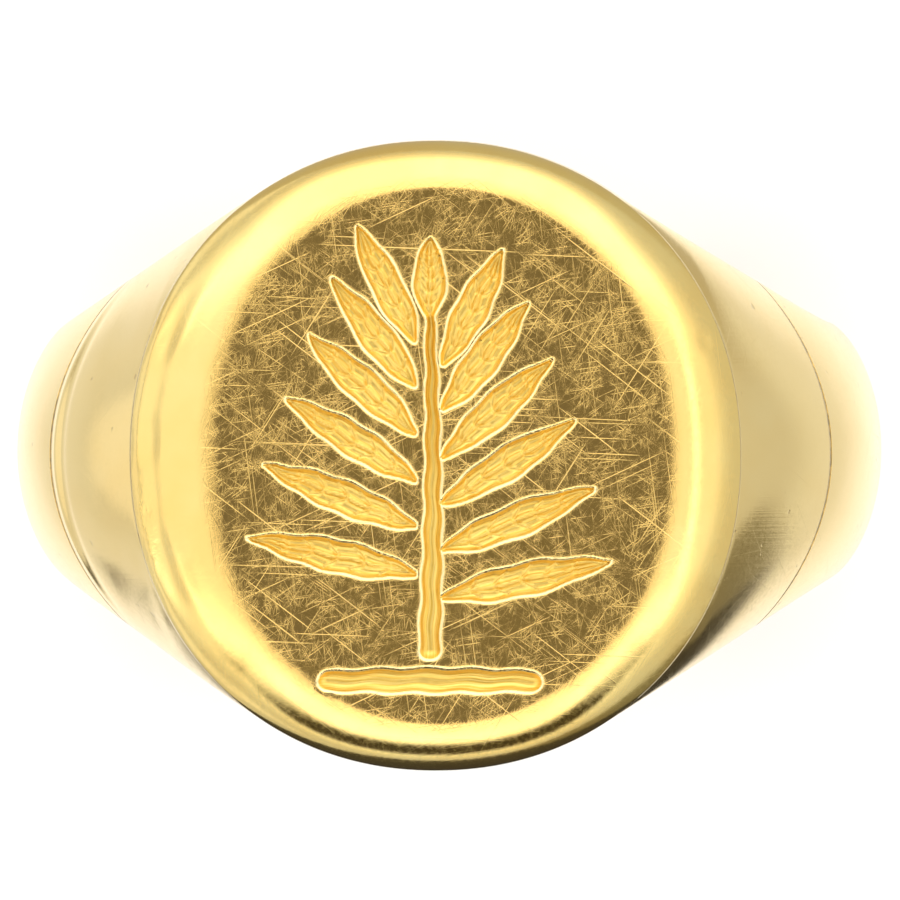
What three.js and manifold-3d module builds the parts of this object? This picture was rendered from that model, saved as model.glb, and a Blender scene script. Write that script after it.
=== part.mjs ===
// A gold signet ring with an engraved head, in millimetres, +Z up.
//
// The origin is the centre of the finger hole. The finger runs along Y, and the engraved table faces +Z.
// The ring is four pieces of gold, a head, two shoulders and a shank, joined by four thin solder seams.
// Angles round the ring are measured about Y, from +Z: 0 is the middle of the table and PI is the foot.

import * as THREE from 'three';
import { ParametricGeometry } from 'three/addons/geometries/ParametricGeometry.js';
import { mergeVertices } from 'three/addons/utils/BufferGeometryUtils.js';
import Module from 'manifold-3d';

// ---- Driving dimensions ----

const boreRadius = 9.25;
const sideCrown = 10.78; // outside radius of the shank beside the finger
const footCrown = 10.6; // outside radius under the finger
const footHalfWidth = 2.5;

const tableHeight = 11.5; // height of the flat table over the middle of the finger hole
const tableHalf = { x: 5.45, y: 6.55 };
const headHalf = { x: 7.5, y: 7.75 };
const bevelDrop = 1.2; // how far the rounded bevel falls from the table to the head's upright wall
const ovalPower = 2.1; // 2 is an ellipse, and a little more makes its corners fuller

const flankSlope = 0.64; // how fast the shoulders narrow away from the head, seen from above
const shoulderTop = 10.25; // height of the crown of a shoulder where it meets the head
const shoulderFoot = THREE.MathUtils.degToRad(88); // where that crown has come down to the shank's
const shoulderCurve = 1.5; // 1 is a steady fall, and more makes it steeper near the head
const seamAngle = THREE.MathUtils.degToRad(55); // where a shoulder meets the shank
const seamThickness = 0.12;

const sideWall = { shank: 0.2, head: 1.1 }; // height of the upright edge of the section
const domePower = { shank: 0.68, shoulder: 0.9 }; // 0.5 is an elliptical dome and 1 is a parabola

const deviceAt = { x: -0.1, y: 0.15 }; // where the engraved device's own origin lies on the table
const cutSlope = 0.6; // a graver cut's depth as a share of its width
const deepestCut = 0.3;

// ---- Fineness of the facets ----

const ringSteps = 120;
const domeSteps = 18;
const headSteps = 96;
const bevelSteps = 8;
const boreSteps = 120;
const cutFacets = { around: 8, along: 6 };

// ---- Colours ----

const gold = { color: '#e3b851', roughness: 0.22, metalness: 1 };
const solder = { color: '#cfb27a', roughness: 0.4, metalness: 1 };

// ---- Solids ----

const wasm = await Module();
wasm.setup();

function solidFrom(geometry) {
  const bare = geometry.clone();
  bare.deleteAttribute('normal');
  bare.deleteAttribute('uv');
  const merged = mergeVertices(bare);
  const corners = merged.getIndex().array;
  const triangles = [];
  for (let i = 0; i < corners.length; i += 3) {
    const [a, b, c] = corners.slice(i, i + 3);
    if (a !== b && b !== c && c !== a) {
      triangles.push(a, b, c);
    }
  }
  const mesh = new wasm.Mesh({
    numProp: 3,
    vertProperties: Float32Array.from(merged.getAttribute('position').array),
    triVerts: Uint32Array.from(triangles),
  });
  return new wasm.Manifold(mesh);
}

function geometryFrom(solid) {
  const mesh = solid.getMesh();
  const geometry = new THREE.BufferGeometry();
  geometry.setAttribute('position', new THREE.BufferAttribute(mesh.vertProperties, 3));
  geometry.setIndex(new THREE.BufferAttribute(mesh.triVerts, 1));
  geometry.computeVertexNormals();
  return geometry;
}

// ---- The head's outline, a full oval ----

function onOval(half, angle) {
  const power = 2 / ovalPower;
  const c = Math.cos(angle);
  const s = Math.sin(angle);
  return {
    x: half.x * Math.sign(c) * Math.abs(c) ** power,
    y: half.y * Math.sign(s) * Math.abs(s) ** power,
  };
}

function ovalColumn(half) {
  const outline = new THREE.Shape();
  for (let i = 0; i < headSteps; i++) {
    const p = onOval(half, (2 * Math.PI * i) / headSteps);
    if (i === 0) {
      outline.moveTo(p.x, p.y);
    } else {
      outline.lineTo(p.x, p.y);
    }
  }
  outline.closePath();
  const column = new THREE.ExtrudeGeometry(outline, { depth: 2 * tableHeight, bevelEnabled: false });
  return solidFrom(column);
}

// ---- The band, one closed loft all the way round, from which the shoulders and the shank are cut ----

// The straight flanks touch the head's outline. These are the line's value at x = 0 and the touching point.
const dualPower = ovalPower / (ovalPower - 1);
const flankStart = ((headHalf.x * flankSlope) ** dualPower + headHalf.y ** dualPower) ** (1 / dualPower);
const touch = {
  x: headHalf.x * ((headHalf.x * flankSlope) / flankStart) ** (dualPower / ovalPower),
  y: headHalf.y * (headHalf.y / flankStart) ** (dualPower / ovalPower),
};

const quarter = Math.PI / 2;

// 0 beside the finger and everywhere nearer the head, 1 at the foot
function footShare(angle) {
  return angle < quarter ? 0 : (1 - Math.cos(2 * (angle - quarter))) / 2;
}

// 0 along the shank, 1 where the flanks meet the head
function headShare(angle) {
  const headEdge = Math.asin(touch.x / boreRadius);
  return THREE.MathUtils.smoothstep(-angle, -seamAngle, -headEdge);
}

function crown(angle) {
  const even = THREE.MathUtils.lerp(sideCrown, footCrown, footShare(angle));
  const rise = Math.hypot(headHalf.x, shoulderTop) - sideCrown;
  const headAngle = Math.atan2(headHalf.x, shoulderTop);
  const left = THREE.MathUtils.clamp((shoulderFoot - angle) / (shoulderFoot - headAngle), 0, 1);
  return even + rise * left ** shoulderCurve;
}

function wallHeight(angle) {
  return THREE.MathUtils.lerp(sideWall.shank, sideWall.head, headShare(angle));
}

function halfWidth(angle) {
  const x = (boreRadius + wallHeight(angle)) * Math.sin(Math.min(angle, quarter));
  const flank = flankStart - flankSlope * Math.max(x, touch.x);
  return THREE.MathUtils.lerp(flank, footHalfWidth, footShare(angle));
}

function dome(angle, across) {
  const shoulderShare = THREE.MathUtils.smoothstep(-angle, -quarter, -seamAngle);
  const power = THREE.MathUtils.lerp(domePower.shank, domePower.shoulder, shoulderShare);
  const foot = boreRadius + wallHeight(angle);
  return foot + (crown(angle) - foot) * (1 - across * across) ** power;
}

function makeBand() {
  // A section's corners run over the dome, and then back under it inside the bore, which is cut out later.
  const under = 0.9 * boreRadius;
  const corners = domeSteps + 3;
  const place = (u, v, target) => {
    const turn = 2 * Math.PI * (1 - u);
    const angle = turn <= Math.PI ? turn : 2 * Math.PI - turn;
    const corner = Math.round(v * corners) % corners;
    const onDome = corner <= domeSteps;
    const underSide = corner === domeSteps + 1 ? -1 : 1;
    const across = onDome ? Math.cos((Math.PI * corner) / domeSteps) : underSide;
    const radius = onDome ? dome(angle, across) : under;
    target.set(radius * Math.sin(turn), halfWidth(angle) * across, radius * Math.cos(turn));
  };
  return solidFrom(new ParametricGeometry(place, ringSteps, corners)).subtract(bore);
}

// A wedge of the space round the finger, between two angles
function wedge(from, to) {
  const reach = 2 * tableHeight;
  const sector = new THREE.Shape();
  sector.moveTo(0, 0);
  sector.lineTo(reach * Math.sin(from), reach * Math.cos(from));
  sector.absarc(0, 0, reach, quarter - from, quarter - to, true);
  sector.closePath();
  const slice = new THREE.ExtrudeGeometry(sector, { depth: reach, bevelEnabled: false, curveSegments: 24 });
  slice.translate(0, 0, -reach / 2);
  slice.rotateX(quarter);
  return solidFrom(slice);
}

// ---- The head: a flat oval table with a rounded bevel, on an upright wall ----

function makeHead() {
  const bottom = boreRadius / 2;
  const bevelFoot = tableHeight - bevelDrop;
  const profile = [
    { half: { x: 0, y: 0 }, z: bottom },
    { half: headHalf, z: bottom },
  ];
  for (let i = 0; i <= bevelSteps; i++) {
    const turn = (quarter * i) / bevelSteps;
    const inward = 1 - Math.cos(turn);
    profile.push({
      half: {
        x: THREE.MathUtils.lerp(headHalf.x, tableHalf.x, inward),
        y: THREE.MathUtils.lerp(headHalf.y, tableHalf.y, inward),
      },
      z: bevelFoot + bevelDrop * Math.sin(turn),
    });
  }
  profile.push({ half: { x: 0, y: 0 }, z: tableHeight });
  const last = profile.length - 1;
  const place = (u, v, target) => {
    const row = profile[Math.round(v * last)];
    const p = onOval(row.half, 2 * Math.PI * u);
    target.set(p.x, p.y, row.z);
  };
  return solidFrom(new ParametricGeometry(place, headSteps, last)).subtract(bore);
}

// ---- The engraved device: a sprig with alternate leaves, over a plain bar ----

// Places are from the device's origin. Leaves go from the stem outwards and up, each pair starts higher than
// the last, stands steeper and is shorter, and its left leaf starts half a spacing above its right one.
const sprig = {
  pairs: 6,
  foot: -3.6,
  spacing: 1.15,
  start: 0.35,
  lean: THREE.MathUtils.degToRad(12),
  steeper: THREE.MathUtils.degToRad(10),
  length: 4.2,
  shorter: 0.22,
};
const leafWidth = 0.8;
const stem = { from: [0, -4.9], to: [0, 3.3], width: 0.45 };
const topLeaf = { from: [0, 3.3], length: 1.8 };
const bar = { from: [-2.6, -5.68], to: [2.6, -5.68], width: 0.6 };

function leafCut(from, angle, length) {
  const to = [from[0] + length * Math.cos(angle), from[1] + length * Math.sin(angle)];
  return { from, to, width: leafWidth };
}

function sprigCuts() {
  const cuts = [stem, bar, leafCut(topLeaf.from, quarter, topLeaf.length)];
  for (let i = 0; i < sprig.pairs; i++) {
    const rise = sprig.lean + i * sprig.steeper;
    const length = sprig.length - i * sprig.shorter;
    const y = sprig.foot + i * sprig.spacing;
    cuts.push(leafCut([sprig.start, y], rise, length));
    cuts.push(leafCut([-sprig.start, y + sprig.spacing / 2], Math.PI - rise, length));
  }
  return cuts;
}

// A cut is a long boat shape, with its lower half in the table.
function boat({ from, to, width }) {
  const along = new THREE.Vector2(to[0] - from[0], to[1] - from[1]);
  const shape = new THREE.SphereGeometry(1, cutFacets.around, cutFacets.along);
  shape.scale(width / 2, along.length() / 2, Math.min(cutSlope * width, deepestCut));
  shape.rotateZ(along.angle() - quarter);
  shape.translate((from[0] + to[0]) / 2, (from[1] + to[1]) / 2, 0);
  shape.translate(deviceAt.x, deviceAt.y, tableHeight);
  return solidFrom(shape);
}

function engrave(blank) {
  let engraved = blank;
  for (const cut of sprigCuts()) {
    engraved = engraved.subtract(boat(cut));
  }
  return engraved;
}

// ---- The pieces ----

const boreShape = new THREE.CylinderGeometry(boreRadius, boreRadius, 2 * tableHeight, boreSteps);
const bore = solidFrom(boreShape);
const band = makeBand();
const headColumn = ovalColumn(headHalf);
const seamColumn = ovalColumn({ x: headHalf.x + seamThickness, y: headHalf.y + seamThickness });
const seamTurn = seamThickness / sideCrown;
const seamEnd = seamAngle + seamTurn;

function name(solid, label, finish) {
  const mesh = new THREE.Mesh(geometryFrom(solid), new THREE.MeshStandardMaterial(finish));
  mesh.name = label;
  return mesh;
}

const ring = new THREE.Group();
ring.add(name(engrave(makeHead()), 'head', gold));
for (const [side, sign] of [['left', -1], ['right', 1]]) {
  const arm = band.intersect(wedge(Math.min(0, sign * seamAngle), Math.max(0, sign * seamAngle)));
  ring.add(name(arm.subtract(seamColumn), `${side}_shoulder`, gold));
  ring.add(name(arm.intersect(seamColumn).subtract(headColumn), `${side}_head_seam`, solder));
  const slice = [sign * seamAngle, sign * seamEnd].sort((a, b) => a - b);
  ring.add(name(band.intersect(wedge(...slice)), `${side}_shank_seam`, solder));
}
ring.add(name(band.intersect(wedge(seamEnd, 2 * Math.PI - seamEnd)), 'shank', gold));

export default ring;
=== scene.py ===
"""A gold signet ring with an engraved head, seen from straight above its table.

Every length is in millimetres until a mesh is made, and MM turns it into metres.
The origin is the centre of the finger hole, the finger runs along Y, and the table faces +Z.
Angles round the ring are measured about Y, from +Z: 0 is the middle of the table and pi is the foot.
"""

import math

import bpy
import numpy as np
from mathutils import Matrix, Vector


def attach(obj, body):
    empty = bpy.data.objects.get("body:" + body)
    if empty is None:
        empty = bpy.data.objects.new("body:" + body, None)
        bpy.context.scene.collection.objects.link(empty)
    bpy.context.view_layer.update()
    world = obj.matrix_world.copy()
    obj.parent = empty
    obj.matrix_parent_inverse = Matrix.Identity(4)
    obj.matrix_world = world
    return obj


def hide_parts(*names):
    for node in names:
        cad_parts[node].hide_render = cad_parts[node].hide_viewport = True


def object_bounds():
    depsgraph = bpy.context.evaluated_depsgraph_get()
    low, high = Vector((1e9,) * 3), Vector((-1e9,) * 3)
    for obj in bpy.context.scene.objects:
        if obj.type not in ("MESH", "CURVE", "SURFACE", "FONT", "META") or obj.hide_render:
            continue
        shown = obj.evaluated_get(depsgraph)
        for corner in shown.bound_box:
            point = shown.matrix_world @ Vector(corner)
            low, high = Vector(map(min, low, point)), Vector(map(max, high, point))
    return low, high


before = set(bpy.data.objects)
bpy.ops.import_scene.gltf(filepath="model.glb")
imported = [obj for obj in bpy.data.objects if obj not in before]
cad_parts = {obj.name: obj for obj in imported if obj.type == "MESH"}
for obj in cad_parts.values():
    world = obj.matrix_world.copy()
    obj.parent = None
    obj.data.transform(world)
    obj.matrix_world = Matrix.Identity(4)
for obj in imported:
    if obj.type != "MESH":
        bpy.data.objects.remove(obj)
cad_low, cad_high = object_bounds()

MM = 0.001
QUARTER = math.pi / 2

# ---- Driving dimensions, those of the CAD model ----

BORE = 9.25
SIDE_CROWN = cad_high.x / MM
FOOT_CROWN = -cad_low.z / MM
FOOT_HALF_WIDTH = 2.5

TABLE_TOP = cad_high.z / MM
TABLE_HALF = (5.45, 6.55)
TABLE_AT = (0.15, 0.0)  # wear has moved the table a little off the head's centre
HEAD_HALF = (7.5, cad_high.y / MM)
BEVEL_DROP = 1.2
OVAL_POWER = 2.1  # 2 is an ellipse, and a little more makes its corners fuller

FLANK_SLOPE = 0.64  # how fast the shoulders narrow away from the head, seen from above
SHOULDER_TOP = 10.25  # height of the crown of a shoulder where it meets the head
SHOULDER_FOOT = math.radians(88)  # where that crown has come down to the shank's
SHOULDER_CURVE = 1.5
SEAM_ANGLE = math.radians(55)  # where a shoulder meets the shank
SEAM_WIDTH = 0.12
SEAM_SUNK = 0.006  # how far the solder lies below the gold, as a share of the band's thickness

SIDE_WALL = {"shank": 0.2, "head": 1.1}  # height of the upright edge of the section
DOME_POWER = {"shank": 0.68, "shoulder": 0.9}  # 0.5 is an elliptical dome and 1 is a parabola
EDGE_ROUND = 0.12  # radius of the worn edges beside the finger

# How the polisher left the shoulders against the head: a wide soft blend on the right, and a
# narrow one with a crease on the left. A blend fills this share of the step within this reach,
# and dies out faster with a larger fade.
BLEND = {1: {"share": 1.0, "reach": 2.6, "fade": 1.5}, -1: {"share": 0.95, "reach": 1.0, "fade": 1.9}}

# Knocks in the rim and the shoulders: x, y, radius and depth
DENTS = [
    (-7.05, 2.9, 0.14, 0.03),
    (-7.0, 3.3, 0.25, 0.03),
    (-7.1, 0.9, 0.32, 0.035),
    (-7.35, -0.5, 0.3, 0.05),
    (-7.3, -1.0, 0.15, 0.04),
    (-7.1, -1.5, 0.34, 0.05),
    (-7.2, -2.1, 0.15, 0.05),
    (-7.25, -2.6, 0.3, 0.05),
    (-7.1, -3.1, 0.16, 0.05),
    (-7.0, -3.6, 0.36, 0.06),
    (-6.9, -4.1, 0.16, 0.06),
    (-6.75, -4.5, 0.42, 0.07),
    (-6.45, -5.2, 0.16, 0.05),
    (-6.1, -5.6, 0.3, 0.06),
    (-8.4, -1.2, 0.3, 0.02),
    (6.65, 2.8, 0.25, 0.03),
    (6.95, -3.3, 0.36, 0.04),
    (6.3, -5.2, 0.42, 0.06),
    (5.8, -5.8, 0.3, 0.05),
]

# Where the left of the rim is rubbed rough: the middle of the patch and its half sizes
WORN_PATCH = {"at": (-7.15, -2.4, TABLE_TOP - 0.8), "half": (0.42, 2.7, 1.0)}

# ---- Fineness of the meshes ----

TABLE_CELLS = 280  # along each side of the table's grid
RIM_EVERY = 4  # facets round the bevel and below it are this many times coarser than the table's
BEVEL_ROWS = 26
WALL_ROWS = 8
EDGE_ROWS = 4
ROOF_ROWS = 25
ROOF_MIDDLE = 0.02  # the last row of the finger hole's roof, as a share of the first
DOME_STEPS = 80
BORE_STEPS = 12
SHOULDER_STEPS = 60
SEAM_STEPS = 2
SHANK_STEPS = 240
HALVINGS = 40  # of the interval in which the band enters the head
SHARP_EDGE = math.radians(50)  # the band's edges that turn more than this stay crisp


def smooth(x, low, high):
    """0 up to low, 1 from high, and an S between them."""
    t = np.clip((x - low) / (high - low), 0, 1)
    return t * t * (3 - 2 * t)


def fading(x, gone, full):
    """1 up to full, 0 from gone, which is the larger, and an S between them."""
    return smooth(-x, -gone, -full)


def blend(a, b, share):
    """a where the share is 0, b where it is 1, and evenly between them."""
    return a + (b - a) * share


# ---- Making mesh objects ----


def make_piece(name, points, faces, nodes, material, sharp_angle=None):
    """A smooth-shaded mesh that stands for some CAD nodes."""
    mesh = bpy.data.meshes.new(name)
    mesh.from_pydata((np.asarray(points) * MM).tolist(), [], faces)
    mesh.update()
    mesh.validate()
    mesh.polygons.foreach_set("use_smooth", [True] * len(mesh.polygons))
    if sharp_angle is not None:
        mesh.set_sharp_from_angle(angle=sharp_angle)
    mesh.materials.append(material)
    piece = bpy.data.objects.new(name, mesh)
    bpy.context.scene.collection.objects.link(piece)
    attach(piece, "root")
    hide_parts(*nodes)
    return piece


def strip(first, second):
    """Faces between two closed rows of the same number of points, given as index arrays."""
    count = len(first)
    faces = []
    for i in range(count):
        j = (i + 1) % count
        faces.append((first[i], second[i], second[j], first[j]))
    return faces


# ---- The head's outline ----


def on_oval(half, x, y):
    """Carries a point of the unit circle's disc to the full oval with these half axes."""
    radius = np.hypot(x, y)
    angle = np.arctan2(y, x)
    power = 2 / OVAL_POWER
    cosine = np.cos(angle)
    sine = np.sin(angle)
    return (
        half[0] * radius * np.sign(cosine) * np.abs(cosine) ** power,
        half[1] * radius * np.sign(sine) * np.abs(sine) ** power,
    )


def beyond_head(x, y):
    """Roughly how far outside the head's outline a point is, and negative inside it."""
    least = 0.01  # keeps the middle of the head from a division by 0
    total = np.abs(x / HEAD_HALF[0]) ** OVAL_POWER + np.abs(y / HEAD_HALF[1]) ** OVAL_POWER
    share = np.maximum(total ** (1 / OVAL_POWER), least)
    return np.hypot(x, y) * (1 - 1 / share)


def knocked(x, y):
    """How deep the knocks are here."""
    total = 0.0
    for dent_x, dent_y, radius, depth in DENTS:
        total = total + depth * np.exp(-((x - dent_x) ** 2 + (y - dent_y) ** 2) / (0.5 * radius**2))
    return total


# ---- The engraved device: a sprig with alternate leaves, over a plain bar ----

DEVICE_AT = (-0.1, 0.15)  # where the device's own origin lies on the table

# Leaves go from the stem outwards and up. Each pair starts higher than the last, stands steeper and
# is shorter, and its left leaf starts half a spacing above its right one.
SPRIG = {
    "pairs": 6,
    "foot": -3.6,
    "spacing": 1.15,
    "start": 0.35,
    "lean": math.radians(12),
    "steeper": math.radians(10),
    "length": 4.2,
    "shorter": 0.22,
}
TOP_LEAF = {"foot": 3.3, "length": 1.9}

# A leaf is cut with one long stroke on each side of its rib, which bows out, and with short veins
# slantwise over each of them. half_widths are those at a stroke's start, middle and end.
LEAF = {"bow": 0.36, "bow_at": 0.45, "half_widths": (0.06, 0.22, 0.02), "depth": 0.18}
VEINS = {
    "count": 5,  # on each side
    "clear_of_tip": 1.5,  # the last vein starts this many spacings short of the tip
    "off_rib": 0.06,
    "slant": math.radians(38),
    "length": 0.44,  # of the longest one, which starts at this share of the rib:
    "longest_at": 0.4,
    "half_widths": (0.075, 0.075, 0.0225),
    "depth": 0.21,
}

# A graver's stroke: start, a point that bends it, end, half-widths at start, middle and end, and depth
STEM = ((0.0, -4.9), (0.16, -0.8), (0.0, 3.4), 0.27, 0.2, 0.1, 0.19)
BAR = ((-2.5, -5.68), (0.0, -5.64), (2.5, -5.68), 0.24, 0.3, 0.24, 0.18)

STROKE_SAMPLES = 90
WALL_CURVE = 2.6  # how flat a cut's floor is, and how steep its walls
LIP = {"width": 0.14, "depth": 0.022}  # the worn, rounded brim of every cut
HAND = {"sway": 0.025, "waves": 5.5}  # how unsteady the graver's edge is, and how often


def leaf_strokes(foot, angle, length):
    """The strokes of a leaf that starts at a point beside the stem and runs at an angle."""
    ahead = Vector((math.cos(angle), math.sin(angle)))
    foot = Vector(foot)
    tip = foot + length * ahead
    strokes = []
    for side in (-1, 1):
        out = side * Vector((-ahead.y, ahead.x))
        bend = foot.lerp(tip, LEAF["bow_at"]) + LEAF["bow"] * out
        strokes.append((foot, bend, tip, *LEAF["half_widths"], LEAF["depth"]))
        slantwise = math.cos(VEINS["slant"]) * ahead + math.sin(VEINS["slant"]) * out
        for i in range(VEINS["count"]):
            share = (i + 1) / (VEINS["count"] + VEINS["clear_of_tip"])
            reach = VEINS["length"] * math.sin(math.pi * (share + 0.5 - VEINS["longest_at"]))
            start = foot.lerp(tip, share) + VEINS["off_rib"] * out
            end = start + reach * slantwise
            strokes.append((start, start.lerp(end, 0.5), end, *VEINS["half_widths"], VEINS["depth"]))
    return strokes


def all_strokes():
    """Every stroke of the device."""
    strokes = [STEM, BAR, *leaf_strokes((0.0, TOP_LEAF["foot"]), QUARTER, TOP_LEAF["length"])]
    for i in range(SPRIG["pairs"]):
        rise = SPRIG["lean"] + i * SPRIG["steeper"]
        length = SPRIG["length"] - i * SPRIG["shorter"]
        y = SPRIG["foot"] + i * SPRIG["spacing"]
        strokes += leaf_strokes((SPRIG["start"], y), rise, length)
        strokes += leaf_strokes((-SPRIG["start"], y + SPRIG["spacing"] / 2), math.pi - rise, length)
    return strokes


def along_stroke(start, bend, end, wide_start, wide_middle, wide_end):
    """Places and half-widths along a stroke, which bends once."""
    t = np.linspace(0, 1, STROKE_SAMPLES)
    weights = [(1 - t) ** 2, 2 * t * (1 - t), t**2]
    wide_bend = 2 * wide_middle - (wide_start + wide_end) / 2
    rows = [(start[0], bend[0], end[0]), (start[1], bend[1], end[1]), (wide_start, wide_bend, wide_end)]
    path_x, path_y, wide = [sum(w * value for w, value in zip(weights, row, strict=True)) for row in rows]
    return DEVICE_AT[0] + path_x, DEVICE_AT[1] + path_y, wide


def gouge(gap, half, deepest):
    """Depth of a cut, from its half-width and the distance outside its edge, negative inside it."""
    inside = np.clip(-gap / half, 0, 1)
    brim = np.clip(1 - gap / LIP["width"], 0, 1)
    return deepest * (1 - (1 - inside) ** WALL_CURVE) + LIP["depth"] * brim**2


def stroke_cut(x, y, stroke):
    """Depth of a stroke, and how far points lie across it and along it."""
    path_x, path_y, wide = along_stroke(*stroke[:-1])
    away_x = x[:, None] - path_x
    away_y = y[:, None] - path_y
    away = np.hypot(away_x, away_y)
    nearest = np.argmin(away / wide, axis=1)
    rows = np.arange(len(nearest))
    half = wide[nearest]
    depth = gouge(away[rows, nearest] - half, half, stroke[-1])
    heading = math.atan2(path_y[-1] - path_y[0], path_x[-1] - path_x[0])
    across = away_y[rows, nearest] * math.cos(heading) - away_x[rows, nearest] * math.sin(heading)
    return depth, across, nearest / STROKE_SAMPLES


def engraving(x, y):
    """For points of the table: how deep they are cut, and where they lie across and along their cut."""
    depth = np.zeros(x.shape)
    across = np.zeros(x.shape)
    along = np.zeros(x.shape)
    # Slanting waves, one across and one along, so that no two cuts waver alike
    hand_x = x + HAND["sway"] * np.sin(HAND["waves"] * (y + 0.7 * x))
    hand_y = y + HAND["sway"] * np.sin(HAND["waves"] * (x - 0.6 * y) + 1)

    for stroke in all_strokes():
        path_x, path_y, wide = along_stroke(*stroke[:-1])
        reach = wide.max() + LIP["width"]
        near = (hand_x > path_x.min() - reach) & (hand_x < path_x.max() + reach)
        near &= (hand_y > path_y.min() - reach) & (hand_y < path_y.max() + reach)
        cut = stroke_cut(hand_x[near], hand_y[near], stroke)
        deeper = cut[0] > depth[near]
        across[near] = np.where(deeper, cut[1], across[near])
        along[near] = np.where(deeper, cut[2], along[near])
        depth[near] = np.maximum(depth[near], cut[0])
    return depth, across, along


# ---- The head ----

# A pair of numbers here is where a feature starts to show and where it is full. Round the table, a
# place is 0 at its left and right sides and 1 at its ends.
BEVEL_ROUND = (0.68, 0.96)  # where the bevel is a full round
BEVEL_CRISP = (0.5, 0.9)  # where it breaks away crisply from the table
LEFT_SIDE = (3.0, 6.0)  # how far left of the middle: there it is less worn than on the right
LEFT_ROUND = 0.2  # how round the bevel is there, where 1 is a full round
TABLE_EDGE = 0.2  # how crisp the break is

# A ridge with a hollow outside it, rubbed into the left of the bevel. Widths are shares of the
# bevel's: at is where the ridge falls off to the hollow, and pitch is from one ridge to the next.
RIDGE = {
    "height": 0.035,
    "at": 0.68,
    "pitch": 0.36,
    "inner_end": (0.4, 0.65),
    "outer_end": (1.0, 0.93),
    "along": (5.0, 3.0),  # how far to the front or the back of the middle
}


def bevel_drop(x, y, out):
    """How far the bevel has fallen at a share of its width: a full round at the table's ends, and a
    gentler curve at its sides, where it runs on into the shoulders."""
    place = np.abs(y) / np.hypot(x / HEAD_HALF[0] * HEAD_HALF[1], y)
    on_left = smooth(-x, *LEFT_SIDE)
    roundness = np.maximum(smooth(place, *BEVEL_ROUND), LEFT_ROUND * on_left)
    full_round = 1 - math.sqrt(max(0.0, 1 - out * out))
    share = blend(out * out, full_round, roundness)
    crisp = TABLE_EDGE * np.maximum(smooth(place, *BEVEL_CRISP), on_left)
    return BEVEL_DROP * blend(share, out, crisp * (1 - out)) + on_left * ridge(y, out)


def ridge(y, out):
    """How much lower the ridge and its hollow leave the bevel, and negative on the ridge."""
    wave = math.sin(2 * math.pi * (out - RIDGE["at"]) / RIDGE["pitch"])
    unsteady = 1 + 0.25 * np.sin(2.3 * y + 1) + 0.2 * np.sin(5.1 * y)
    ends = smooth(out, *RIDGE["inner_end"]) * fading(out, *RIDGE["outer_end"])
    return RIDGE["height"] * wave * ends * unsteady * fading(np.abs(y), *RIDGE["along"])


def make_head(material):
    """The table is a square grid carried to an oval, and rows of points go on from its edge."""
    n = TABLE_CELLS
    side = np.linspace(-1, 1, n + 1)
    u, v = np.meshgrid(side, side, indexing="ij")
    disc_x = u * np.sqrt(1 - v * v / 2)
    disc_y = v * np.sqrt(1 - u * u / 2)
    x, y = on_oval(TABLE_HALF, disc_x, disc_y)
    x, y = x + TABLE_AT[0], y + TABLE_AT[1]
    depth, across, along = engraving(x, y)
    points = [np.stack([x, y, TABLE_TOP - depth], axis=-1).reshape(-1, 3)]
    index = np.arange((n + 1) ** 2).reshape(n + 1, n + 1)
    cells = [index[:-1, :-1], index[1:, :-1], index[1:, 1:], index[:-1, 1:]]
    faces = np.stack(cells, axis=-1).reshape(-1, 4).tolist()

    # The grid's edge, once round anticlockwise
    edge = np.concatenate([index[:-1, 0], index[-1, :-1], index[:0:-1, -1], index[0, :0:-1]])
    rim_x = disc_x.reshape(-1)[edge]
    rim_y = disc_y.reshape(-1)[edge]
    thinned = slice(None, None, RIM_EVERY)
    rows = []
    for i in range(1, BEVEL_ROWS + 1):
        out = math.sin(QUARTER * i / BEVEL_ROWS)
        if i > 1:
            rim = rim_x[thinned], rim_y[thinned]
        else:
            rim = rim_x, rim_y  # the row beside the table has as many points as its edge
        half = [blend(TABLE_HALF[k], HEAD_HALF[k], out) for k in (0, 1)]
        row_x, row_y = on_oval(half, *rim)
        row_x = row_x + TABLE_AT[0] * (1 - out)
        row_y = row_y + TABLE_AT[1] * (1 - out)
        rows.append((row_x, row_y, TABLE_TOP - bevel_drop(row_x, row_y, out) - knocked(row_x, row_y)))
    rows += head_underside(*rows[-1])

    count = len(points[0])
    previous = edge
    for row in rows:
        points.append(np.stack(row, axis=-1))
        current = np.arange(count, count + len(row[0]))
        count += len(current)
        if len(current) == len(previous):
            faces += strip(previous, current)
        else:
            faces += thinning_strip(previous, current)
        previous = current
    faces.append(tuple(previous[::-1]))
    piece = make_piece("ring_head", np.concatenate(points), faces, ["head"], material)
    for label, values in (("depth", depth), ("across", across), ("along", along)):
        layer = piece.data.attributes.new(label, "FLOAT", "POINT")
        padded = np.zeros(count)
        padded[: values.size] = values.reshape(-1)
        layer.data.foreach_set("value", padded)
    return piece


def head_underside(wall_x, wall_y, wall_top):
    """Rows down the upright wall, round the worn edge beside the finger, and over the hole's roof."""
    rows = []
    wall_foot = np.sqrt(BORE**2 - wall_x**2) + EDGE_ROUND
    for share in np.linspace(0, 1, WALL_ROWS + 1)[1:]:
        rows.append((wall_x, wall_y, blend(wall_top, wall_foot, share)))
    for turn in np.linspace(0, QUARTER, EDGE_ROWS + 1)[1:]:
        inward = 1 - EDGE_ROUND * (1 - math.cos(turn)) / HEAD_HALF[1]
        x, y = wall_x * inward, wall_y * inward
        rows.append((x, y, np.sqrt(BORE**2 - x**2) + EDGE_ROUND * (1 - math.sin(turn))))
    edge_x, edge_y, _ = rows[-1]
    for share in np.linspace(1, ROOF_MIDDLE, ROOF_ROWS + 1)[1:]:
        x, y = edge_x * share, edge_y * share
        rows.append((x, y, np.sqrt(BORE**2 - x**2)))
    return rows


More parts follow.
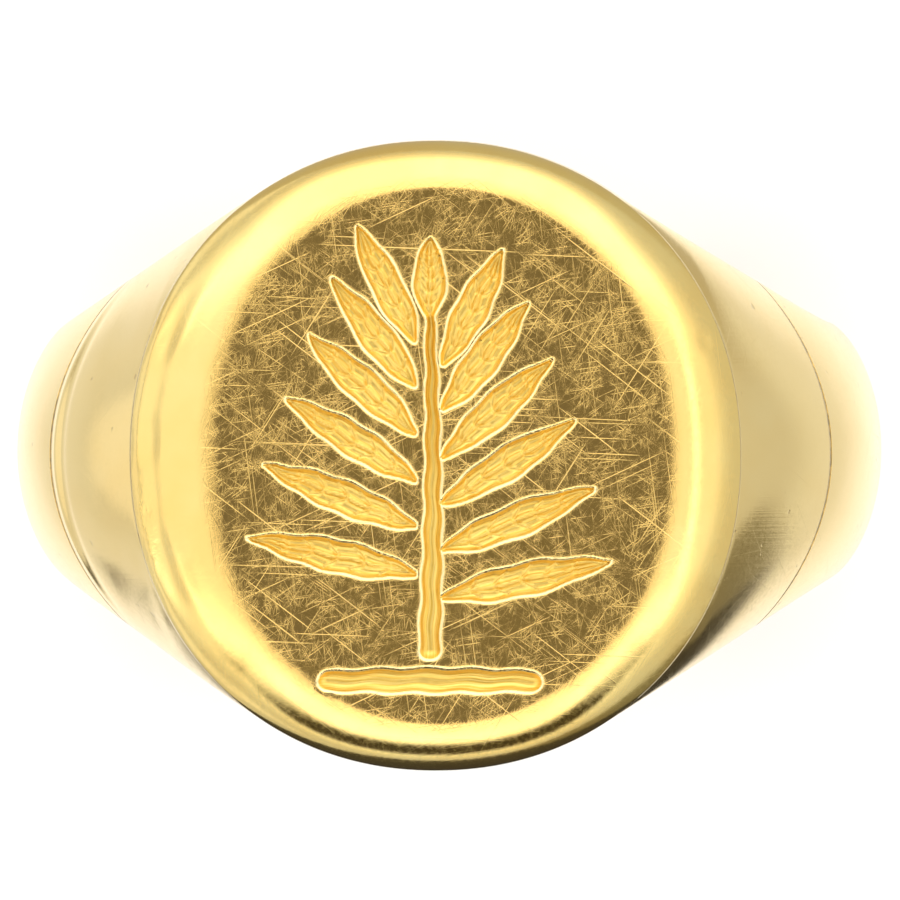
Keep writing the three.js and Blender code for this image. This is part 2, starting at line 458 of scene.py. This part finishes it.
def thinning_strip(previous, current):
    """Faces from a fine row of points to one that has a point for every few of its own."""
    faces = []
    for i in range(len(current)):
        span = [previous[(i * RIM_EVERY + k) % len(previous)] for k in range(RIM_EVERY + 1)]
        faces.append((*span[::-1], current[i], current[(i + 1) % len(current)]))
    return faces


# ---- The shoulders, the shank and the seams, all cut from one band ----

DUAL = OVAL_POWER / (OVAL_POWER - 1)
FLANK_START = ((HEAD_HALF[0] * FLANK_SLOPE) ** DUAL + HEAD_HALF[1] ** DUAL) ** (1 / DUAL)
TOUCH_X = HEAD_HALF[0] * (HEAD_HALF[0] * FLANK_SLOPE / FLANK_START) ** (DUAL / OVAL_POWER)

# The section's rounded edge, from the dome to the bore, as (share across, layer)
SECTION_EDGE = [(1.0, 0.55), (0.996, 0.25), (0.985, 0.08), (0.96, 0.0)]
BAND_START = 0.1  # an angle at which every line along the band is inside the head

# A ridge and a hollow that the polisher left beside the left seam: distance from it, width and height
SEAM_WAVES = [(0.26, 0.15, 0.045), (0.62, 0.17, -0.03)]


def foot_share(angle):
    """0 beside the finger and everywhere nearer the head, 1 at the foot."""
    return np.where(angle < QUARTER, 0, (1 - np.cos(2 * (angle - QUARTER))) / 2)


def head_share(angle):
    """0 along the shank, 1 where the flanks meet the head."""
    return fading(angle, SEAM_ANGLE, math.asin(TOUCH_X / BORE))


def crown(angle):
    """Outside radius along the middle of the band, without the blend against the head."""
    even = blend(SIDE_CROWN, FOOT_CROWN, foot_share(angle))
    rise = math.hypot(HEAD_HALF[0], SHOULDER_TOP) - SIDE_CROWN
    head_angle = math.atan2(HEAD_HALF[0], SHOULDER_TOP)
    left = np.clip((SHOULDER_FOOT - angle) / (SHOULDER_FOOT - head_angle), 0, 1)
    return even + rise * left**SHOULDER_CURVE


def wall_height(angle):
    """Height over the bore of the upright edge of the section."""
    return blend(SIDE_WALL["shank"], SIDE_WALL["head"], head_share(angle))


def half_width(angle):
    """Half the band's width along the finger."""
    x = (BORE + wall_height(angle)) * np.sin(np.minimum(angle, QUARTER))
    flank = FLANK_START - FLANK_SLOPE * np.maximum(x, TOUCH_X)
    return blend(flank, FOOT_HALF_WIDTH, foot_share(angle))


def dome(angle, across):
    """Outside radius at a share across the section, from -1 to 1."""
    power = blend(DOME_POWER["shank"], DOME_POWER["shoulder"], fading(angle, QUARTER, SEAM_ANGLE))
    foot = BORE + wall_height(angle)
    return foot + (crown(angle) - foot) * (1 - across * across) ** power


def section_corners():
    """Round the section once, as (share across, layer). The layer is 1 on the dome and 0 on the bore."""
    bore_edge = SECTION_EDGE[-1][0]
    corners = [(math.cos(math.pi * i / DOME_STEPS), 1.0) for i in range(DOME_STEPS + 1)]
    corners += [(-across, layer) for across, layer in SECTION_EDGE]
    corners += [(blend(-bore_edge, bore_edge, i / BORE_STEPS), 0.0) for i in range(1, BORE_STEPS)]
    corners += SECTION_EDGE[::-1]
    return corners


def meets_head(across, layer):
    """The angle, nearer the head than the seam, at which a line along the band enters the head."""
    low = BAND_START
    high = SEAM_ANGLE
    for _ in range(HALVINGS):
        middle = (low + high) / 2
        radius = blend(BORE, dome(middle, across), layer)
        if beyond_head(radius * math.sin(middle), half_width(middle) * across) < 0:
            low = middle
        else:
            high = middle
    return high


def seam_waves(side, angle, across):
    """The polisher's ridge and hollow on the left shoulder, which die out at its edges."""
    away = (SEAM_ANGLE - angle) * SIDE_CROWN
    total = 0.0
    for place, width, height in SEAM_WAVES:
        total = total + height * np.exp(-(((away - place) / width) ** 2))
    return total * (1 - across * across) * (side < 0)


def steps_at_head():
    """How far below the head's rim the top of the band meets it, for each corner of the section."""
    across = np.array([corner[0] for corner in section_corners()])
    angle = np.array([meets_head(share, 1.0) for share in across])
    return np.maximum(TABLE_TOP - BEVEL_DROP - dome(angle, across) * np.cos(angle), 0)


def head_blend(side, x, y, steps):
    """How far a shoulder is drawn up against the head."""
    near = np.clip(1 - beyond_head(x, y) / BLEND[side]["reach"], 0, 1)
    return BLEND[side]["share"] * steps * near ** BLEND[side]["fade"]


def band_points(side, angle, across, layer, steps=None):
    """One section of the band. A shoulder also has its steps below the head's rim."""
    folded = np.minimum(angle, 2 * math.pi - angle)
    outside = dome(folded, across)
    if steps is not None:
        outside = outside + seam_waves(side, folded, across)
    radius = blend(BORE, outside, layer)
    x = radius * np.sin(angle)
    y = half_width(folded) * across
    z = radius * np.cos(angle)
    if steps is not None:
        z = z + layer * head_blend(side, outside * np.sin(angle), y, steps)
        z = z - layer * knocked(side * x, y)
    return np.stack([side * x, y, z], axis=-1)


def make_band(name, start, end, side, rows_of_faces, nodes, slot, material, sunk=0.0, steps=None):
    """A stretch of the band. start and end are its end angles, and may hold one for each corner of
    the section. The steps of a shoulder die out towards its far end."""
    across, layer = np.array(section_corners()).T
    layer = layer * (1 - sunk)
    rows = []
    for i in range(rows_of_faces + 1):
        angle = blend(np.asarray(start), np.asarray(end), i / rows_of_faces)
        remaining = None if steps is None else steps * (1 - (i / rows_of_faces) ** 2)
        rows.append(band_points(side, angle * np.ones_like(across), across, layer, remaining))
    n = len(across)
    faces = []
    for i in range(rows_of_faces):
        first = np.arange(i * n, (i + 1) * n)
        faces += strip(first, first + n)
    faces.append(tuple(range(n))[::-1])
    faces.append(tuple(range(rows_of_faces * n, (rows_of_faces + 1) * n)))
    if side < 0:
        faces = [f[::-1] for f in faces]
    return make_piece(name, np.concatenate(rows), faces, nodes, material, SHARP_EDGE)


# ---- Materials ----


PALE_GOLD = {"head": (1.0, 0.78, 0.3, 1), "band": (1.0, 0.78, 0.35, 1)}
DEEP_GOLD = {"head": (1.0, 0.72, 0.24, 1), "band": (0.97, 0.73, 0.3, 1)}
TABLE_GOLD = (1.0, 0.67, 0.21, 1)
# Painted highlight: the brims of the cuts are painted a pale gold
BRIM_HIGHLIGHT_GOLD = (1.0, 0.9, 0.52, 1)
# Painted shade inside the cuts: a shaded and a lit copy of the gold, mixed in streaks
CUT_SHADED_GOLD = (0.86, 0.55, 0.1, 1)
CUT_LIT_GOLD = (1.0, 0.74, 0.22, 1)
PIT_BROWN = (0.5, 0.36, 0.16, 1)
SOLDER_GREY = (0.5, 0.43, 0.29, 1)
SOLDER_YELLOW = (0.85, 0.68, 0.36, 1)
SCRATCH_SOFTNESS = 0.22  # how much the noise rises from a scratch's edge to its middle


def new_material(name):
    """A metal material, with its node tree and its shader."""
    material = bpy.data.materials.new(name)
    material.use_nodes = True
    tree = material.node_tree
    tree.nodes.clear()
    output = tree.nodes.new("ShaderNodeOutputMaterial")
    shader = tree.nodes.new("ShaderNodeBsdfPrincipled")
    shader.inputs["Metallic"].default_value = 1.0
    tree.links.new(shader.outputs["BSDF"], output.inputs["Surface"])
    return material, tree, shader


class Graph:
    """Short names for making and joining shader nodes."""

    def __init__(self, tree):
        self.tree = tree
        place = tree.nodes.new("ShaderNodeTexCoord")
        scale = tree.nodes.new("ShaderNodeVectorMath")
        scale.operation = "SCALE"
        scale.inputs["Scale"].default_value = 1 / MM
        tree.links.new(place.outputs["Object"], scale.inputs[0])
        self.here = scale.outputs[0]  # the place on the ring, in millimetres
        parts = tree.nodes.new("ShaderNodeSeparateXYZ")
        tree.links.new(self.here, parts.inputs[0])
        self.height = parts.outputs["Z"]

    def put(self, socket, value):
        """Joins an output to a socket, or sets a plain value."""
        if isinstance(value, bpy.types.NodeSocket):
            self.tree.links.new(value, socket)
        else:
            socket.default_value = value

    def math(self, operation, a, b=0.0):
        """A sum of two values, or of one where the operation takes no more."""
        node = self.tree.nodes.new("ShaderNodeMath")
        node.operation = operation
        self.put(node.inputs[0], a)
        self.put(node.inputs[1], b)
        return node.outputs[0]

    def step(self, value, low, high, to_low=0.0, to_high=1.0):
        """to_low where the value is low, to_high where it is high, and an S between them."""
        node = self.tree.nodes.new("ShaderNodeMapRange")
        node.interpolation_type = "SMOOTHSTEP"
        self.put(node.inputs["Value"], value)
        self.put(node.inputs["From Min"], low)
        self.put(node.inputs["From Max"], high)
        self.put(node.inputs["To Min"], to_low)
        self.put(node.inputs["To Max"], to_high)
        return node.outputs["Result"]

    def mix(self, share, a, b):
        """Colour a where the share is 0, and b where it is 1."""
        node = self.tree.nodes.new("ShaderNodeMix")
        node.data_type = "RGBA"
        self.put(node.inputs["Factor"], share)
        self.put(node.inputs[6], a)
        self.put(node.inputs[7], b)
        return node.outputs[2]

    def turned(self, angle, stretch, shift=(0, 0, 0)):
        """The place on the ring, turned about Z and stretched, to draw streaks."""
        node = self.tree.nodes.new("ShaderNodeMapping")
        node.vector_type = "TEXTURE"
        node.inputs["Rotation"].default_value = (0, 0, angle)
        node.inputs["Scale"].default_value = stretch
        node.inputs["Location"].default_value = shift
        self.tree.links.new(self.here, node.inputs["Vector"])
        return node.outputs["Vector"]

    def noise(self, place, scale, detail=2.0, rough=0.5):
        """Soft random lumps, scale of them to a millimetre, and finer ones with more detail."""
        node = self.tree.nodes.new("ShaderNodeTexNoise")
        self.tree.links.new(place, node.inputs["Vector"])
        node.inputs["Scale"].default_value = scale
        node.inputs["Detail"].default_value = detail
        node.inputs["Roughness"].default_value = rough
        return node.outputs["Fac"]

    def attribute(self, name):
        """A value that the mesh holds at each of its points."""
        node = self.tree.nodes.new("ShaderNodeAttribute")
        node.attribute_name = name
        return node.outputs["Fac"]

    def streaks(self, crosswise, fine, lengthwise, coarse):
        """A noise over two attributes, fine across and coarse along."""
        node = self.tree.nodes.new("ShaderNodeCombineXYZ")
        self.put(node.inputs["X"], self.math("MULTIPLY", self.attribute(crosswise), fine))
        self.put(node.inputs["Y"], self.math("MULTIPLY", self.attribute(lengthwise), coarse))
        return self.noise(node.outputs["Vector"], scale=1.0)

    def bump(self, relief, strength, height, under=None):
        """A relief that stands up to a height in millimetres, over another one or none."""
        node = self.tree.nodes.new("ShaderNodeBump")
        node.inputs["Strength"].default_value = strength
        node.inputs["Distance"].default_value = height * MM
        self.put(node.inputs["Height"], relief)
        if under is not None:
            self.put(node.inputs["Normal"], under)
        return node.outputs["Normal"]


def hairlines(graph, count, seed, length, width, level):
    """Fine straight scratches in many directions: ridges of a noise that is drawn out along each one."""
    total = None
    for i in range(count):
        # An uneven turn and a shift of its own for each direction, so that no two look alike
        angle = math.pi * (i + 0.4 * math.sin(7.0 * i + seed)) / count
        shift = (3.1 * i + seed, 1.7 * i - seed, 0.9 * i)
        place = graph.turned(angle, (length, width, length), shift)
        line = graph.step(graph.noise(place, scale=1.0, detail=0.0), level, level + SCRATCH_SOFTNESS)
        total = line if total is None else graph.math("MAXIMUM", total, line)
    return total


def worn_gold(graph, place, seed, dense):
    """Polished gold that has been worn: its colour, its fine and its long scratches, and its grain."""
    cloud = graph.step(graph.noise(graph.here, scale=0.4, detail=3.0), 0.3, 0.7)
    grain = graph.noise(graph.here, scale=9.0, detail=3.0, rough=0.6)
    colour = graph.mix(cloud, DEEP_GOLD[place], PALE_GOLD[place])
    rubbed = hairlines(graph, count=7, seed=seed, length=1.3, width=0.02, level=0.71 - 0.09 * dense)
    faint = graph.step(graph.noise(graph.here, scale=3.0, detail=2.0), 0.35, 0.65, to_low=0.45)
    rubbed = graph.math("MULTIPLY", rubbed, faint)
    scored = hairlines(graph, count=5, seed=seed + 40, length=3.2, width=0.03, level=0.75 - 0.03 * dense)
    return colour, rubbed, scored, grain


def worn_patch(graph):
    """1 in the middle of the patch that is rubbed rough, 0 outside it."""
    near = graph.tree.nodes.new("ShaderNodeMapping")
    near.vector_type = "TEXTURE"
    near.inputs["Location"].default_value = WORN_PATCH["at"]
    near.inputs["Scale"].default_value = WORN_PATCH["half"]
    graph.put(near.inputs["Vector"], graph.here)
    far = graph.tree.nodes.new("ShaderNodeVectorMath")
    far.operation = "LENGTH"
    graph.put(far.inputs[0], near.outputs["Vector"])
    return graph.step(far.outputs["Value"], 1.0, 0.5)


def head_gold_material():
    """Gold that is scratched all over the table, with the cuts and the worn patch, painted shade inside
    the cuts and a painted highlight on their brims.
    """
    material, tree, shader = new_material("head_gold")
    graph = Graph(tree)
    colour, rubbed, scored, grain = worn_gold(graph, "head", seed=1.0, dense=1.0)

    # The table is a deeper gold than the bevel, and takes most of the wear.
    table = graph.step(graph.height, TABLE_TOP - 0.12, TABLE_TOP - 0.01)
    colour = graph.mix(table, colour, TABLE_GOLD)
    wear = graph.math("MAXIMUM", graph.math("MULTIPLY", rubbed, 0.5), scored)
    wear = graph.math("MULTIPLY", wear, graph.step(table, 0.0, 1.0, to_low=0.25))

    # Inside the cuts the gold is painted darker as shade, in shaded and lit streaks along each stroke,
    # and their brims are painted pale as a highlight.
    depth = graph.attribute("depth")
    cut = graph.step(depth, 0.03, 0.075)
    brim = graph.math("MULTIPLY", graph.step(depth, 0.003, 0.018), graph.math("SUBTRACT", 1.0, cut))
    streaks = graph.streaks("across", 26.0, "along", 2.0)
    # Painted shade: the inside of each cut is painted in shaded and lit streaks along its stroke
    inside = graph.mix(graph.step(streaks, 0.35, 0.65), CUT_SHADED_GOLD, CUT_LIT_GOLD)
    colour = graph.mix(cut, colour, inside)
    # Painted highlight: the brims of the cuts are painted pale
    colour = graph.mix(graph.math("MULTIPLY", brim, 0.75), colour, BRIM_HIGHLIGHT_GOLD)
    wear = graph.math("MULTIPLY", wear, graph.math("SUBTRACT", 1.0, cut))

    haze = graph.step(grain, 0.3, 0.7, to_low=0.08, to_high=0.2)
    haze = graph.math("ADD", haze, graph.math("MULTIPLY", wear, 0.2))
    haze = graph.math("ADD", haze, graph.math("MULTIPLY", cut, 0.28))
    normal = graph.bump(wear, strength=0.7, height=0.006)
    normal = graph.bump(graph.math("MULTIPLY", streaks, cut), strength=0.8, height=0.014, under=normal)
    normal = graph.bump(grain, strength=0.25, height=0.004, under=normal)
    rubble = graph.noise(graph.here, scale=4.5, detail=3.0, rough=0.6)
    rubble = graph.math("MULTIPLY", rubble, worn_patch(graph))
    normal = graph.bump(rubble, strength=0.6, height=0.04, under=normal)
    graph.put(shader.inputs["Base Color"], colour)
    graph.put(shader.inputs["Roughness"], haze)
    graph.put(shader.inputs["Normal"], normal)
    return material


def band_gold_material():
    """Gold with few scratches, some pits, and the polisher's marks across the band."""
    material, tree, shader = new_material("band_gold")
    graph = Graph(tree)
    colour, rubbed, scored, grain = worn_gold(graph, "band", seed=5.0, dense=0.0)
    wear = graph.math("MAXIMUM", graph.math("MULTIPLY", rubbed, 0.3), graph.math("MULTIPLY", scored, 0.7))
    pits = graph.step(graph.noise(graph.here, scale=3.4, detail=1.0), 0.74, 0.8)
    colour = graph.mix(graph.math("MULTIPLY", pits, 0.5), colour, PIT_BROWN)
    haze = graph.step(grain, 0.3, 0.7, to_low=0.14, to_high=0.2)
    haze = graph.math("ADD", haze, graph.math("MULTIPLY", wear, 0.1))
    normal = graph.bump(wear, strength=0.4, height=0.004)
    normal = graph.bump(graph.math("SUBTRACT", 1.0, pits), strength=0.5, height=0.01, under=normal)
    normal = graph.bump(grain, strength=0.3, height=0.004, under=normal)
    polishing = graph.noise(graph.turned(0, (5.0, 0.05, 5.0)), scale=1.0, detail=2.0)
    normal = graph.bump(polishing, strength=0.3, height=0.006, under=normal)
    graph.put(shader.inputs["Base Color"], colour)
    graph.put(shader.inputs["Roughness"], haze)
    graph.put(shader.inputs["Normal"], normal)
    return material


def seam_gold_material():
    """Solder that has sunk a little and gone grey in spots."""
    material, tree, shader = new_material("seam_gold")
    graph = Graph(tree)
    spots = graph.step(graph.noise(graph.here, scale=4.5, detail=3.0, rough=0.7), 0.35, 0.7)
    grain = graph.noise(graph.here, scale=16.0, detail=3.0, rough=0.6)
    graph.put(shader.inputs["Base Color"], graph.mix(spots, SOLDER_GREY, SOLDER_YELLOW))
    graph.put(shader.inputs["Roughness"], graph.step(grain, 0.3, 0.7, to_low=0.32, to_high=0.5))
    graph.put(shader.inputs["Normal"], graph.bump(grain, strength=0.6, height=0.01))
    return material


# ---- The ring ----


def make_ring():
    """The six pieces. A shoulder also stands for its seam at the head, which is polished over."""
    head_gold = head_gold_material()
    band_gold = band_gold_material()
    seam_gold = seam_gold_material()
    seam_end = SEAM_ANGLE + SEAM_WIDTH / SIDE_CROWN
    at_head = [meets_head(across, layer) for across, layer in section_corners()]
    steps = steps_at_head()
    make_head(head_gold)
    for label, side in (("left", -1), ("right", 1)):
        shoulder = f"{label}_shoulder"
        nodes = [shoulder, f"{label}_head_seam"]
        shape = (at_head, SEAM_ANGLE, side, SHOULDER_STEPS)
        make_band(f"ring_{shoulder}", *shape, nodes, "gold", band_gold, steps=steps)
        seam = f"{label}_shank_seam"
        shape = (SEAM_ANGLE, seam_end, side, SEAM_STEPS)
        make_band(f"ring_{seam}", *shape, [seam], "solder", seam_gold, sunk=SEAM_SUNK)
    far_end = 2 * math.pi - seam_end
    make_band("ring_shank", seam_end, far_end, 1, SHANK_STEPS, ["shank"], "gold", band_gold)


make_ring()

# ---- The studio ----

FLOOR_HALF = 400
# A painted pool of light on the floor: the floor is painted palest near the ring and greyer further away
FLOOR_LIGHT_POOL = [(17.0, 0.9), (28.0, 0.56), (50.0, 0.42)]  # how far from the ring, and how pale there
CARD_HEIGHT = 0.02  # over the floor

TENT = {
    "horizon": (0.8, 0.79, 0.76, 1),
    "roof": (1.1, 1.08, 1.02, 1),
    "ends": (1.8, 1.78, 1.7, 1),
    "strip": (1.9, 1.88, 1.8, 1),
    "front": (0.06, 0.05, 0.035, 1),
    "opening": (0.19, 0.18, 0.16, 1),
}
BACKDROP = 0.97
BLACK = (0, 0, 0, 1)

CAMERA_DISTANCE = 625
CAMERA_TILT = (math.radians(2.0), math.radians(0.75))  # about Y, and the other way about X
VIEW_WIDTH = 22.5


def grey(value):
    """A neutral colour."""
    return (value, value, value, 1)


def lay_card(name, low, high, height, colour):
    """A flat level card between two corners."""
    corners = [(low[0], low[1]), (high[0], low[1]), (high[0], high[1]), (low[0], high[1])]
    mesh = bpy.data.meshes.new(name)
    mesh.from_pydata([(x * MM, y * MM, height * MM) for x, y in corners], [], [(0, 1, 2, 3)])
    card = bpy.data.objects.new(name, mesh)
    bpy.context.scene.collection.objects.link(card)
    material = bpy.data.materials.new(name)
    material.use_nodes = True
    shader = material.node_tree.nodes["Principled BSDF"]
    shader.inputs["Base Color"].default_value = colour
    shader.inputs["Roughness"].default_value = 0.9
    mesh.materials.append(material)
    return card


def make_floor():
    """A pale floor with a painted pool of light: it is painted whitest round the ring and greyer further
    out.
    """
    near, middle, far = FLOOR_LIGHT_POOL
    corner = (FLOOR_HALF, FLOOR_HALF)
    floor = lay_card("studio_floor", (-FLOOR_HALF, -FLOOR_HALF), corner, -FOOT_CROWN, grey(near[1]))
    tree = floor.data.materials[0].node_tree
    graph = Graph(tree)
    flat = tree.nodes.new("ShaderNodeVectorMath")
    flat.operation = "LENGTH"
    graph.put(flat.inputs[0], graph.here)
    away = flat.outputs["Value"]
    # Painted pool of light: paler near the ring, greyer further out
    colour = graph.mix(graph.step(away, middle[0], far[0]), grey(middle[1]), grey(far[1]))
    colour = graph.mix(graph.step(away, near[0], middle[0]), grey(near[1]), colour)
    graph.put(tree.nodes["Principled BSDF"].inputs["Base Color"], colour)


def make_cards():
    """Cards that only the gold mirrors: dark in front of the ring, dim behind it, pale on its left."""
    height = CARD_HEIGHT - FOOT_CROWN
    cards = [
        lay_card("front_card", (-24, -130), (24, -11), height, (0.02, 0.018, 0.015, 1)),
        lay_card("front_right_card", (24, -130), (60, -11), height, (0.12, 0.11, 0.08, 1)),
        lay_card("back_card", (-40, 14), (60, 130), height, (0.34, 0.32, 0.27, 1)),
        lay_card("pale_card", (-200, -80), (-44, 80), height, (0.64, 0.63, 0.62, 1)),
    ]
    for card in cards:
        card.visible_camera = False
        card.visible_diffuse = False
        card.visible_shadow = False


def make_world():
    """A light tent: even all round, brighter high in front and behind and in a strip on the right,
    dark lower in front, and with a dark round opening overhead, which the flat table mirrors."""
    world = bpy.data.worlds.new("light_tent")
    bpy.context.scene.world = world
    world.use_nodes = True
    tree = world.node_tree
    tree.nodes.clear()
    output = tree.nodes.new("ShaderNodeOutputWorld")
    background = tree.nodes.new("ShaderNodeBackground")
    tree.links.new(background.outputs[0], output.inputs["Surface"])
    graph = Graph(tree)
    place = tree.nodes.new("ShaderNodeTexCoord")
    parts = tree.nodes.new("ShaderNodeSeparateXYZ")
    tree.links.new(place.outputs["Generated"], parts.inputs[0])
    aside, along, up = parts.outputs
    tent = graph.mix(graph.step(up, 0.0, 0.15), TENT["horizon"], TENT["roof"])
    ends = graph.step(graph.math("ABSOLUTE", along), 0.22, 0.45)
    ends = graph.math("MULTIPLY", ends, graph.step(up, 0.15, 0.4))
    tent = graph.mix(ends, tent, TENT["ends"])
    bright = graph.math("MULTIPLY", graph.step(aside, 0.78, 0.82), graph.step(aside, 0.9, 0.86))
    bright = graph.math("MULTIPLY", bright, graph.step(up, 0.2, 0.35))
    tent = graph.mix(bright, tent, TENT["strip"])
    front = graph.math("MULTIPLY", graph.step(along, -0.5, -0.75), graph.step(up, 0.68, 0.52))
    front = graph.math("MULTIPLY", front, graph.step(up, 0.1, 0.25))
    tent = graph.mix(front, tent, TENT["front"])
    tent = graph.mix(graph.step(up, 0.905, 0.965), tent, TENT["opening"])

    # The floor is lit by its own lamp, and the eye sees a plain pale backdrop.
    rays = tree.nodes.new("ShaderNodeLightPath")
    tent = graph.mix(rays.outputs["Is Diffuse Ray"], tent, BLACK)
    tent = graph.mix(rays.outputs["Is Camera Ray"], tent, grey(BACKDROP))
    graph.put(background.inputs["Color"], tent)


def make_floor_lamp():
    """A very wide, soft sun overhead, which lights the floor and which the gold doesn't mirror."""
    light = bpy.data.lights.new("floor_lamp", "SUN")
    light.energy = 4.6
    light.angle = math.radians(110)
    lamp = bpy.data.objects.new("floor_lamp", light)
    lamp.visible_glossy = False
    bpy.context.scene.collection.objects.link(lamp)


def make_camera():
    """A camera that looks almost straight down on the table, from far enough to flatten the view."""
    camera_data = bpy.data.cameras.new("camera")
    camera_data.sensor_width = 36
    camera_data.lens = camera_data.sensor_width * CAMERA_DISTANCE / VIEW_WIDTH
    camera_data.clip_start = 0.01
    camera_data.clip_end = 10
    camera = bpy.data.objects.new("camera", camera_data)
    bpy.context.scene.collection.objects.link(camera)
    camera.rotation_euler = (-CAMERA_TILT[1], CAMERA_TILT[0], 0)
    camera.location = camera.rotation_euler.to_matrix() @ Vector((0, 0, CAMERA_DISTANCE * MM))
    bpy.context.scene.camera = camera


make_floor()
make_cards()
make_world()
make_floor_lamp()
make_camera()
bpy.context.scene.view_settings.view_transform = "Standard"
